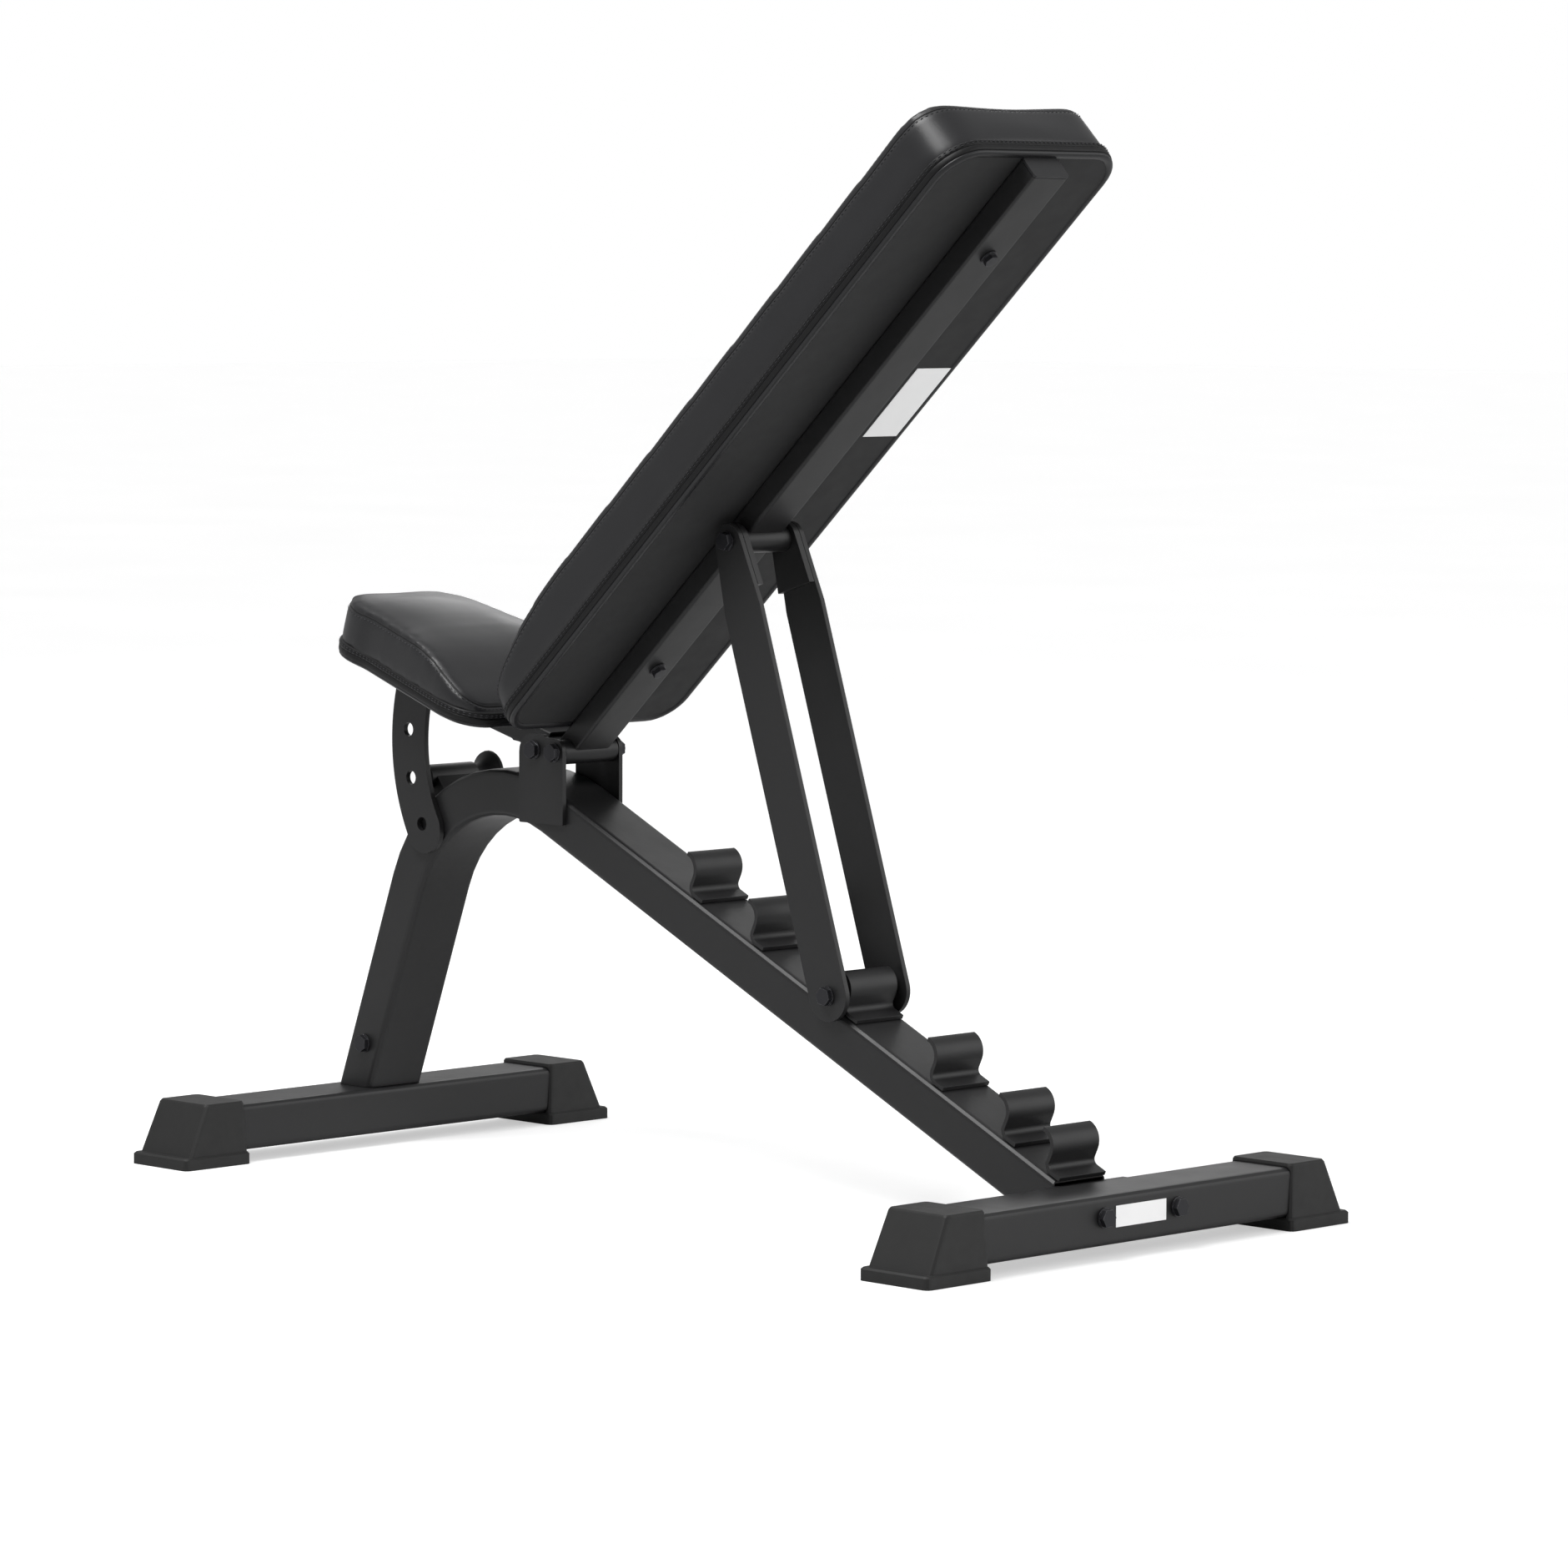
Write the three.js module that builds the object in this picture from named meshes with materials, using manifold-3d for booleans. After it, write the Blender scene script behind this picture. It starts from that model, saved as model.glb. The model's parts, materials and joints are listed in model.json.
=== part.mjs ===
// Adjustable weight bench: a bent main tube on two foot bars, a ladder of six hooks,
// a backrest held by a strut, and a seat held by a pop-pin.
// Millimetres. X runs from the seat end (-) to the ladder end (+), Z is up, Y = 0 is the middle plane.
import * as THREE from "three";
import { ConvexGeometry } from "three/addons/geometries/ConvexGeometry.js";
import { mergeVertices } from "three/addons/utils/BufferGeometryUtils.js";
import Module from "manifold-3d";

const wasm = await Module();
wasm.setup();

// ---- driving dimensions ----
const GAP = 0.3;
const WALL = 3;
const EDGE = 7; // corner radius of the rectangular tubes

const TUBE = { half: 25, halfWidth: 38 }; // main tube: half depth in the bend plane, half width along Y
const LEG = { foot: -558.5, run: 0.3697, cut: 63.7 }; // centre line x = foot + run * z
const BEAM = { top: 274.55, fall: 0.472, end: 496.2 }; // centre line z = top - fall * x
const BEND = { radius: 162, steps: 12 };

const BAR = { x: 539.8, halfX: 38, low: 13.4, high: 63.4, halfY: 267 };
const CAP = { inner: 221.5, outer: 276, lip: 308, top: 67.4, lipTop: 13 };
const CAP_HALF = { top: 40.2, low: 42.5, lip: 45.5 };
const STUB = { length: 92, bolt: 112 };
const FLANGE = { thick: 5, halfY: 70, low: 14, high: 62 };
const FOOT_BOLT = { y: 53.4, z: 42 };

const SEAT_PIVOT = { x: -241, z: 447.5 };
const BACK_PIVOT = { x: -210, z: 446 };
const BRACKET = { inner: 38.3, outer: 43.3, front: -264, rear: -197, low: 370 };
const SLEEVE = { radius: 13, bore: 5.4, half: 37.7 };

const HOOKS = [-38, 60.3, 208.3, 340.5, 448.3, 513.8]; // arc centres along the top of the beam
const HOOK = { outer: 19.8, thick: 4.5, rise: 19.5, lip: 95, bend: 6, tail: 19, halfY: 33.6 };

const BACK_ANGLE = 42.5;
const BACK = { bottom: 19, top: 898, half: 124.5, board: 18.5, pad: 26.4, front: 90 };
const BACK_CORNER = { low: 38, high: 43, front: 12, inset: 6 };
const BACK_LABEL = { from: 478, to: 582, near: 68, far: 117 };
const SPINE = { low: -7.2, high: 18.2, halfY: 25, top: 888, wall: 2 };
const BACK_BOLTS = [143, 776];

const SEAT_ANGLE = 15;
const SEAT = { rear: 26, front: 310, rearHalf: 118, frontHalf: 90, waist: [75, 230], board: 18.5, pad: 26.2 };
const SEAT_CORNER = { rear: 33, waist: 90, front: 60, inset: 6 };
const SUPPORT = { low: -7, high: 18.2, halfY: 25, front: 262, wall: 2 };
const SEAT_BOLTS = [70, 171];

const ARC = { inner: 170, outer: 222, from: 161, to: 209, near: -45.3, far: -39.3 };
const ARC_HOLES = { radius: 7.5, angles: [176.8, 192, 207.2] };
const CROSS = { low: 13.2, high: 18.2, from: 168, to: 224 };

const PIN = { x: -432.7, z: 406.3, radius: 5, tip: -32, tail: 62 };
const HOUSING = { radius: 13, near: -25, far: 42, half: 11 };
const SPRING_ROOM = { radius: 8.6, near: -12, far: 32 };
const KNOB = { neck: 42.6, flare: 48, rim: 68, neckRadius: 9, rimRadius: 24 };

const STRUT_TOP = { s: 348, h: -6.4 };
const ROLLER = { radius: 12.7, half: 40.7 };
const STRUT = { inner: 41, outer: 47, lowRadius: 26, highRadius: 18, taper: 72 };
const DOUBLER = { inner: 33, outer: 40.7, length: 52 };
const CROSS_SLEEVE = { radius: 13, half: 32.7 };

const M10 = { shaft: 5, head: 9.5, headHeight: 5.6, washer: 10, washerHeight: 1.6 };
const M8 = { shaft: 4, head: 7.6, headHeight: 5.3, washer: 9, washerHeight: 1.6 };
const LABEL_THICK = 0.4;

const FULL = Math.PI * 2;
const DEGREE = Math.PI / 180;
const SPINE_HALF = (SPINE.high - SPINE.low) / 2;
const SPINE_MIDDLE = (SPINE.high + SPINE.low) / 2;
const BEAM_ANGLE = Math.atan(BEAM.fall);
const LEG_ANGLE = Math.atan(LEG.run);
const BEAM_FACE = BEAM.top + TUBE.half / Math.cos(BEAM_ANGLE); // height of the beam's top face at x = 0

// ---- materials ----
function material(color, roughness, metalness) {
  return new THREE.MeshStandardMaterial({ color, roughness, metalness });
}
const paint = () => material(0x2b2b2c, 0.55, 0.3);
const zinc = () => material(0x222224, 0.35, 0.8);
const rubber = () => material(0x2e2e2f, 0.75, 0);
const vinyl = () => material(0x1f1f22, 0.4, 0);
const board = () => material(0x262627, 0.8, 0);
const paper = () => material(0xe9e9e6, 0.6, 0);

// ---- from three.js geometry to solids and back ----
function solid(geometry) {
  const bare = geometry.index ? geometry.toNonIndexed() : geometry.clone();
  bare.deleteAttribute("normal");
  bare.deleteAttribute("uv");
  const merged = mergeVertices(bare, 1e-4);
  return new wasm.Manifold(
    new wasm.Mesh({
      numProp: 3,
      vertProperties: merged.attributes.position.array,
      triVerts: new Uint32Array(merged.index.array),
    }),
  );
}

function mesh(name, body, finish) {
  const made = body.getMesh();
  const geometry = new THREE.BufferGeometry();
  geometry.setAttribute("position", new THREE.BufferAttribute(made.vertProperties, 3));
  geometry.setIndex(new THREE.BufferAttribute(made.triVerts, 1));
  geometry.computeVertexNormals();
  const result = new THREE.Mesh(geometry, finish);
  result.name = name;
  return result;
}

function union(...bodies) {
  return bodies.reduce((a, b) => a.add(b));
}

// ---- shapes ----
function block(x0, x1, y0, y1, z0, z1) {
  const geometry = new THREE.BoxGeometry(x1 - x0, y1 - y0, z1 - z0);
  geometry.translate((x0 + x1) / 2, (y0 + y1) / 2, (z0 + z1) / 2);
  return solid(geometry);
}

function rod(radius, z0, z1, sides = 18) {
  const geometry = new THREE.CylinderGeometry(radius, radius, z1 - z0, sides);
  geometry.rotateX(Math.PI / 2);
  geometry.translate(0, 0, (z0 + z1) / 2);
  return solid(geometry);
}

function rodY(x, z, radius, y0, y1, sides = 20) {
  const geometry = new THREE.CylinderGeometry(radius, radius, y1 - y0, sides);
  geometry.translate(x, (y0 + y1) / 2, z);
  return solid(geometry);
}

function rodX(y, z, radius, x0, x1, sides = 16) {
  const geometry = new THREE.CylinderGeometry(radius, radius, x1 - x0, sides);
  geometry.rotateZ(Math.PI / 2);
  geometry.translate((x0 + x1) / 2, y, z);
  return solid(geometry);
}

// A closed outline through [x, y, radius] corners, each rounded by its radius.
function rounded(corners, Kind = THREE.Shape) {
  const outline = new Kind();
  corners.forEach(([x, y, radius], i) => {
    const before = corners.at(i - 1);
    const after = corners[(i + 1) % corners.length];
    const a = new THREE.Vector2(before[0] - x, before[1] - y).normalize();
    const b = new THREE.Vector2(after[0] - x, after[1] - y).normalize();
    const turn = Math.PI - Math.acos(a.dot(b));
    const reach = radius * Math.tan(turn / 2);
    const pull = reach - (4 / 3) * Math.tan(turn / 4) * radius;
    const start = [x + a.x * reach, y + a.y * reach];
    if (i) outline.lineTo(...start);
    else outline.moveTo(...start);
    if (radius) {
      const c1 = [x + a.x * pull, y + a.y * pull];
      const c2 = [x + b.x * pull, y + b.y * pull];
      outline.bezierCurveTo(...c1, ...c2, x + b.x * reach, y + b.y * reach);
    }
  });
  outline.closePath();
  return outline;
}

function boxSection(halfX, halfY, wall, radius) {
  const corners = (hx, hy, r) => [[-hx, -hy, r], [hx, -hy, r], [hx, hy, r], [-hx, hy, r]];
  const shape = rounded(corners(halfX, halfY, radius));
  const bore = corners(halfX - wall, halfY - wall, 0);
  shape.holes.push(rounded(bore.reverse(), THREE.Path));
  return shape;
}

// An outline in (x, z), as thick as y0 to y1.
function plate(outline, y0, y1, curveSegments = 6) {
  const depth = y1 - y0;
  const geometry = new THREE.ExtrudeGeometry(outline, { depth, bevelEnabled: false, curveSegments });
  geometry.rotateX(Math.PI / 2);
  geometry.translate(0, y1, 0);
  return solid(geometry);
}

// An outline in (x, y), as thick as z0 to z1.
function slab(outline, z0, z1, curveSegments = 6) {
  const depth = z1 - z0;
  const geometry = new THREE.ExtrudeGeometry(outline, { depth, bevelEnabled: false, curveSegments });
  geometry.translate(0, 0, z0);
  return solid(geometry);
}

function pipeY(x, z, radius, bore, half) {
  return rodY(x, z, radius, -half, half, 28).subtract(rodY(x, z, bore, -half - 1, half + 1, 14));
}

// ---- fasteners: made along +Z, seated at z = 0 ----
function boltAlongZ(size, length) {
  const headTop = -size.washerHeight - size.headHeight;
  return union(
    rod(size.shaft, -1, length, 14),
    rod(size.washer, -size.washerHeight, 0),
    rod(size.head, headTop, -size.washerHeight + 0.2, 6),
  );
}

function nutAlongZ(size) {
  const height = size.washerHeight + size.headHeight + 1;
  const body = union(
    rod(size.washer, 0, size.washerHeight),
    rod(size.head, size.washerHeight - 0.2, height, 6),
  );
  return body.subtract(rod(size.shaft + GAP, -1, height + 1, 14));
}

function boltY(name, x, z, face, length) {
  const bolt = mesh(name + "_bolt", boltAlongZ(M10, length), zinc());
  const nut = mesh(name + "_nut", nutAlongZ(M10), zinc());
  bolt.position.set(x, -face, z);
  nut.position.set(x, face, z);
  bolt.rotation.x = -Math.PI / 2;
  nut.rotation.x = -Math.PI / 2;
  return [bolt, nut];
}

// ---- frame ----
// Straight leg, round bend, straight beam: one station where each stretch starts and ends.
class BentPath extends THREE.Curve {
  constructor() {
    super();
    const up = new THREE.Vector3(Math.sin(LEG_ANGLE), 0, Math.cos(LEG_ANGLE));
    const down = new THREE.Vector3(Math.cos(BEAM_ANGLE), 0, -Math.sin(BEAM_ANGLE));
    const cornerX = (LEG.foot + LEG.run * BEAM.top) / (1 + LEG.run * BEAM.fall);
    const corner = new THREE.Vector3(cornerX, 0, BEAM.top - BEAM.fall * cornerX);
    const turn = up.angleTo(down);
    const reach = BEND.radius * Math.tan(turn / 2);
    const start = corner.clone().addScaledVector(up, -reach);
    const inward = new THREE.Vector3(Math.cos(LEG_ANGLE), 0, -Math.sin(LEG_ANGLE));
    this.centre = start.clone().addScaledVector(inward, BEND.radius);
    this.stations = [[start.clone().addScaledVector(up, -300), up]];
    for (let i = 0; i <= BEND.steps; i += 1) {
      const angle = (turn * i) / BEND.steps;
      const spoke = inward.clone().negate().applyAxisAngle(new THREE.Vector3(0, 1, 0), angle);
      const heading = up.clone().applyAxisAngle(new THREE.Vector3(0, 1, 0), angle);
      this.stations.push([this.centre.clone().addScaledVector(spoke, BEND.radius), heading]);
    }
    this.stations.push([corner.clone().addScaledVector(down, 1100), down]);
  }
  station(t) {
    return this.stations[Math.round(t * (this.stations.length - 1))];
  }
  getPointAt(t) {
    return this.station(t)[0].clone();
  }
  getTangentAt(t) {
    return this.station(t)[1].clone();
  }
}
const bentPath = new BentPath();

function legX(z) {
  return LEG.foot + LEG.run * z;
}

function mainTube() {
  const section = boxSection(TUBE.halfWidth, TUBE.half, WALL, EDGE);
  const steps = bentPath.stations.length - 1;
  const long = solid(new THREE.ExtrudeGeometry(section, { steps, extrudePath: bentPath, curveSegments: 3 }));
  return long
    .subtract(block(-900, -400, -90, 90, -300, LEG.cut))
    .subtract(block(BEAM.end, 900, -90, 90, -400, 300))
    .subtract(rodY(legX(STUB.bolt), STUB.bolt, M10.shaft + GAP, -90, 90));
}

function footBar(x) {
  const section = boxSection(BAR.halfX, (BAR.high - BAR.low) / 2, WALL, EDGE);
  const geometry = new THREE.ExtrudeGeometry(section, {
    depth: 2 * BAR.halfY,
    bevelEnabled: false,
    curveSegments: 3,
  });
  geometry.rotateX(Math.PI / 2);
  geometry.translate(x, BAR.halfY, (BAR.low + BAR.high) / 2);
  return solid(geometry);
}

function rearFootBar() {
  let bar = footBar(BAR.x);
  for (const y of [-FOOT_BOLT.y, FOOT_BOLT.y]) {
    bar = bar.subtract(rodX(y, FOOT_BOLT.z, M10.shaft + GAP, 450, 620));
  }
  return bar;
}

function legStub() {
  const section = boxSection(TUBE.half - WALL - GAP, TUBE.halfWidth - WALL - GAP, WALL, EDGE - WALL);
  const stub = slab(section, -30, STUB.length, 3)
    .rotate([0, LEG_ANGLE / DEGREE, 0])
    .translate([legX(LEG.cut), 0, LEG.cut]);
  return stub
    .subtract(block(-700, -400, -60, 60, -100, LEG.cut))
    .subtract(rodY(legX(STUB.bolt), STUB.bolt, M10.shaft + GAP, -60, 60));
}

// A moulded cap on the +Y end of a bar: a tapering cup on a wider lip.
function footCap() {
  const ring = (half, y0, y1, radius, z) => {
    const corners = [[-half, y0, radius], [half, y0, radius], [half, y1, radius], [-half, y1, radius]];
    return rounded(corners).getPoints(3).map((p) => new THREE.Vector3(p.x, p.y, z));
  };
  const top = [
    ...ring(CAP_HALF.top - 2, CAP.inner + 1, CAP.outer - 2, 5, CAP.top),
    ...ring(CAP_HALF.top, CAP.inner, CAP.outer, 6, CAP.top - 2.5),
    ...ring(CAP_HALF.low, CAP.inner - 3, CAP.lip - 8, 6, CAP.lipTop - 1),
  ];
  const lip = [
    ...ring(CAP_HALF.lip, CAP.inner - 4, CAP.lip, 6, CAP.lipTop - 2),
    ...ring(CAP_HALF.lip - 2, CAP.inner - 3, CAP.lip - 2, 6, CAP.lipTop),
    ...ring(CAP_HALF.lip, CAP.inner - 4, CAP.lip, 6, 0),
  ];
  const room = slab(
    rounded([
      [-BAR.halfX - GAP, BAR.low - GAP, EDGE - 1],
      [BAR.halfX + GAP, BAR.low - GAP, EDGE - 1],
      [BAR.halfX + GAP, BAR.high + GAP, EDGE - 1],
      [-BAR.halfX - GAP, BAR.high + GAP, EDGE - 1],
    ]),
    0,
    100,
    3,
  )
    .rotate([90, 0, 0])
    .translate([0, BAR.halfY + GAP, 0]);
  return union(solid(new ConvexGeometry(top)), solid(new ConvexGeometry(lip))).subtract(room);
}

function flangePlate() {
  const corners = [
    [-FLANGE.halfY, FLANGE.low, 6],
    [FLANGE.halfY, FLANGE.low, 6],
    [FLANGE.halfY, FLANGE.high, 6],
    [-FLANGE.halfY, FLANGE.high, 6],
  ];
  const rear = BAR.x - BAR.halfX - GAP;
  let body = slab(rounded(corners), 0, FLANGE.thick, 3)
    .rotate([90, 0, 90])
    .translate([rear - FLANGE.thick, 0, 0]);
  for (const y of [-FOOT_BOLT.y, FOOT_BOLT.y]) {
    body = body.subtract(rodX(y, FOOT_BOLT.z, M10.shaft + GAP, 450, 620));
  }
  return body;
}

function bracketPlate(side) {
  const outline = rounded([
    [BRACKET.front, BRACKET.low, 2],
    [BRACKET.rear, BRACKET.low, 2],
    [BRACKET.rear, BACK_PIVOT.z + 14, 13],
    [(SEAT_PIVOT.x + BACK_PIVOT.x) / 2 + 1, BACK_PIVOT.z + 15, 4],
    [(SEAT_PIVOT.x + BACK_PIVOT.x) / 2 - 1, SEAT_PIVOT.z + 17, 4],
    [BRACKET.front, SEAT_PIVOT.z + 17, 20],
  ]);
  const [y0, y1] = side < 0 ? [-BRACKET.outer, -BRACKET.inner] : [BRACKET.inner, BRACKET.outer];
  let body = plate(outline, y0, y1);
  for (const pivot of [SEAT_PIVOT, BACK_PIVOT]) {
    body = body.subtract(rodY(pivot.x, pivot.z, M10.shaft + GAP, -60, 60));
  }
  return body;
}

// One bent plate: a curl open to the front, a wall down to the beam, and a tail welded on it.
function hook() {
  const inner = HOOK.outer - HOOK.thick;
  const lip = HOOK.lip * DEGREE;
  const tailEnd = HOOK.outer + HOOK.tail;
  const bendX = HOOK.outer + HOOK.bend;
  const bendZ = GAP + HOOK.thick + HOOK.bend;
  const outline = new THREE.Shape();
  outline.absarc(0, HOOK.rise, HOOK.outer, lip, 0, true);
  outline.absarc(bendX, bendZ, HOOK.bend, Math.PI, Math.PI * 1.5, false);
  outline.lineTo(tailEnd, GAP + HOOK.thick);
  outline.lineTo(tailEnd, GAP);
  outline.absarc(bendX, bendZ, HOOK.bend + HOOK.thick, -Math.PI / 2, -Math.PI, true);
  outline.absarc(0, HOOK.rise, inner, 0, lip, false);
  outline.closePath();
  return plate(outline, -HOOK.halfY, HOOK.halfY, 6);
}

function pinHousing() {
  const away = Math.hypot(PIN.x - bentPath.centre.x, PIN.z - bentPath.centre.z);
  const standOff = away - BEND.radius - TUBE.half - GAP;
  const local = union(
    rodY(0, 0, HOUSING.radius, HOUSING.near, HOUSING.far, 32),
    block(-HOUSING.half, HOUSING.half, HOUSING.near + 6, HOUSING.far - 6, -standOff, 0),
  );
  return local
    .subtract(rodY(0, 0, PIN.radius + GAP, -90, 90))
    .subtract(rodY(0, 0, SPRING_ROOM.radius, SPRING_ROOM.near, SPRING_ROOM.far));
}

// The return spring, shown at its pressed length at the far end of its room.
class Coil extends THREE.Curve {
  getPoint(t) {
    const angle = t * FULL * 6;
    return new THREE.Vector3(7 * Math.cos(angle), 14.5 * t, 7 * Math.sin(angle));
  }
}

function pinSpring() {
  const wire = new THREE.Shape();
  wire.absarc(0, 0, 0.9, 0, FULL, false);
  const geometry = new THREE.ExtrudeGeometry(wire, { steps: 60, extrudePath: new Coil(), curveSegments: 2 });
  geometry.translate(0, SPRING_ROOM.far - 16, 0);
  return solid(geometry);
}

function frameMeshes() {
  const group = new THREE.Group();
  group.add(mesh("main_tube", mainTube(), paint()));
  group.add(mesh("front_foot_bar", footBar(-BAR.x), paint()));
  group.add(mesh("rear_foot_bar", rearFootBar(), paint()));
  group.add(mesh("leg_stub", legStub(), paint()));
  group.add(mesh("rear_flange_plate", flangePlate(), paint()));
  for (const [place, x] of [["front", -BAR.x], ["rear", BAR.x]]) {
    for (const [side, turn] of [["near", Math.PI], ["far", 0]]) {
      const cap = mesh(`foot_cap_${place}_${side}`, footCap(), rubber());
      cap.position.x = x;
      cap.rotation.z = turn;
      group.add(cap);
    }
  }
  group.add(mesh("bracket_plate_near", bracketPlate(-1), paint()));
  group.add(mesh("bracket_plate_far", bracketPlate(1), paint()));
  group.add(...boltY("leg", legX(STUB.bolt), STUB.bolt, TUBE.halfWidth + GAP, 88));
  group.add(...boltY("seat_pivot", SEAT_PIVOT.x, SEAT_PIVOT.z, BRACKET.outer + GAP, 99));
  group.add(...boltY("back_pivot", BACK_PIVOT.x, BACK_PIVOT.z, BRACKET.outer + GAP, 99));
  for (const [side, y] of [["near", -FOOT_BOLT.y], ["far", FOOT_BOLT.y]]) {
    const bolt = mesh("rear_foot_bolt_" + side, boltAlongZ(M10, 92), zinc());
    const nut = mesh("rear_foot_nut_" + side, nutAlongZ(M10), zinc());
    bolt.position.set(BAR.x + BAR.halfX + GAP, y, FOOT_BOLT.z);
    nut.position.set(BAR.x - BAR.halfX - FLANGE.thick - 2 * GAP, y, FOOT_BOLT.z);
    bolt.rotation.y = -Math.PI / 2;
    nut.rotation.y = -Math.PI / 2;
    group.add(bolt, nut);
  }
  const labelX = BAR.x + BAR.halfX + GAP;
  group.add(mesh("foot_label", block(labelX, labelX + LABEL_THICK, -37, 36, 31, 52), paper()));
  group.add(ladder(), pinHousingGroup());
  return group;
}

function ladder() {
  const beam = new THREE.Group();
  beam.position.set(0, 0, BEAM_FACE);
  beam.rotation.y = BEAM_ANGLE;
  HOOKS.forEach((u, i) => {
    const piece = mesh(`ladder_hook_${i + 1}`, hook(), paint());
    piece.position.x = u;
    beam.add(piece);
  });
  return beam;
}

function pinHousingGroup() {
  const group = new THREE.Group();
  const away = Math.atan2(PIN.x - bentPath.centre.x, PIN.z - bentPath.centre.z);
  group.position.set(PIN.x, 0, PIN.z);
  group.rotation.y = away;
  group.add(mesh("pin_housing", pinHousing(), paint()));
  group.add(mesh("pin_spring", pinSpring(), zinc()));
  return group;
}

// ---- pop-pin ----
function seatPin() {
  return union(
    rodY(0, 0, PIN.radius, PIN.tip, PIN.tail),
    rodY(0, 0, SPRING_ROOM.radius - 0.5, SPRING_ROOM.near + 0.5, SPRING_ROOM.near + 4),
  );
}

function pinKnob() {
  const bore = PIN.radius + GAP;
  const profile = [
    [bore, KNOB.neck],
    [KNOB.neckRadius, KNOB.neck],
    [KNOB.neckRadius, KNOB.flare],
    [KNOB.neckRadius + 2, KNOB.flare + 6],
    [KNOB.neckRadius + 6, KNOB.flare + 12],
    [KNOB.rimRadius - 1, KNOB.rim - 3],
    [KNOB.rimRadius, KNOB.rim],
    [KNOB.rimRadius - 2, KNOB.rim + 2],
    [KNOB.neckRadius + 4, KNOB.rim - 1],
    [bore, KNOB.rim - 2],
    [bore, KNOB.neck],
  ].map(([r, y]) => new THREE.Vector2(r, y));
  return solid(new THREE.LatheGeometry(profile, 24));
}

function pinGroup() {
  const group = new THREE.Group();
  group.position.set(PIN.x, 0, PIN.z);
  group.add(mesh("seat_pin_plunger", seatPin(), zinc()));
  group.add(mesh("seat_pin_knob", pinKnob(), rubber()));
  return group;
}

// ---- seat: local x runs backward, so s (forward from the pivot) is -x ----
function seatPlan(inset) {
  const c = SEAT_CORNER;
  return rounded([
    [-SEAT.rear - inset, -SEAT.rearHalf + inset, c.rear],
    [-SEAT.rear - inset, SEAT.rearHalf - inset, c.rear],
    [-SEAT.waist[0], SEAT.rearHalf - inset, c.waist],
    [-SEAT.waist[1], SEAT.frontHalf - inset, c.waist],
    [-SEAT.front + inset, SEAT.frontHalf - inset, c.front],
    [-SEAT.front + inset, -SEAT.frontHalf + inset, c.front],
    [-SEAT.waist[1], -SEAT.frontHalf + inset, c.waist],
    [-SEAT.waist[0], -SEAT.rearHalf + inset, c.waist],
  ]);
}

function seatPad() {
  const side = new THREE.Shape();
  side.moveTo(-SEAT.rear, SEAT.pad);
  side.bezierCurveTo(-SEAT.rear, 40, -50, 50, -70, 57);
  side.bezierCurveTo(-100, 69, -120, 78, -160, 79);
  side.lineTo(-SEAT.front + 12, 80);
  side.quadraticCurveTo(-SEAT.front, 79, -SEAT.front, 68);
  side.lineTo(-SEAT.front, SEAT.pad);
  side.closePath();
  return slab(seatPlan(0), SEAT.pad, 90).intersect(plate(side, -150, 150, 5));
}

function seatBoard() {
  let body = slab(seatPlan(SEAT_CORNER.inset), SEAT.board, SEAT.pad - GAP);
  for (const s of SEAT_BOLTS) {
    body = body.subtract(rod(M8.shaft + GAP, 0, 40, 20).translate([-s, 0, 0]));
  }
  return body;
}

function supportTube() {
  const section = boxSection(SUPPORT.halfY, (SUPPORT.high - SUPPORT.low) / 2, SUPPORT.wall, 3);
  let body = alongBack(section, SUPPORT.front).translate([0, 0, (SUPPORT.low + SUPPORT.high) / 2]);
  for (const s of SEAT_BOLTS) {
    body = body.subtract(rod(M8.shaft + GAP, -40, 40, 20).translate([-s, 0, 0]));
  }
  return body.subtract(rodY(0, 0, SLEEVE.radius + GAP, -60, 60, 32));
}

// A (y, z) section drawn out from x = 0 to x = -length.
function alongBack(section, length) {
  const geometry = new THREE.ExtrudeGeometry(section, {
    depth: length,
    bevelEnabled: false,
    curveSegments: 3,
  });
  geometry.rotateY(-Math.PI / 2);
  geometry.rotateX(-Math.PI / 2);
  return solid(geometry);
}

function arcPlate() {
  const turn = (degrees) => (degrees + SEAT_ANGLE) * DEGREE; // into the seat's own frame
  const start = turn(ARC.from - 6);
  const end = turn(ARC.to);
  const middle = (ARC.inner + ARC.outer) / 2;
  const half = (ARC.outer - ARC.inner) / 2;
  const outline = new THREE.Shape();
  outline.absarc(0, 0, ARC.outer, start, end, false);
  outline.absarc(middle * Math.cos(end), middle * Math.sin(end), half, end, end + Math.PI, false);
  outline.absarc(0, 0, ARC.inner, end, start, true);
  outline.closePath();
  let body = plate(outline, ARC.near, ARC.far, 16);
  body = body.subtract(block(-400, 0, -90, 0, CROSS.low - GAP, 200));
  for (const degrees of ARC_HOLES.angles) {
    const x = middle * Math.cos(turn(degrees));
    const z = middle * Math.sin(turn(degrees));
    body = body.subtract(rodY(x, z, ARC_HOLES.radius, -60, 0));
  }
  return body;
}

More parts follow.
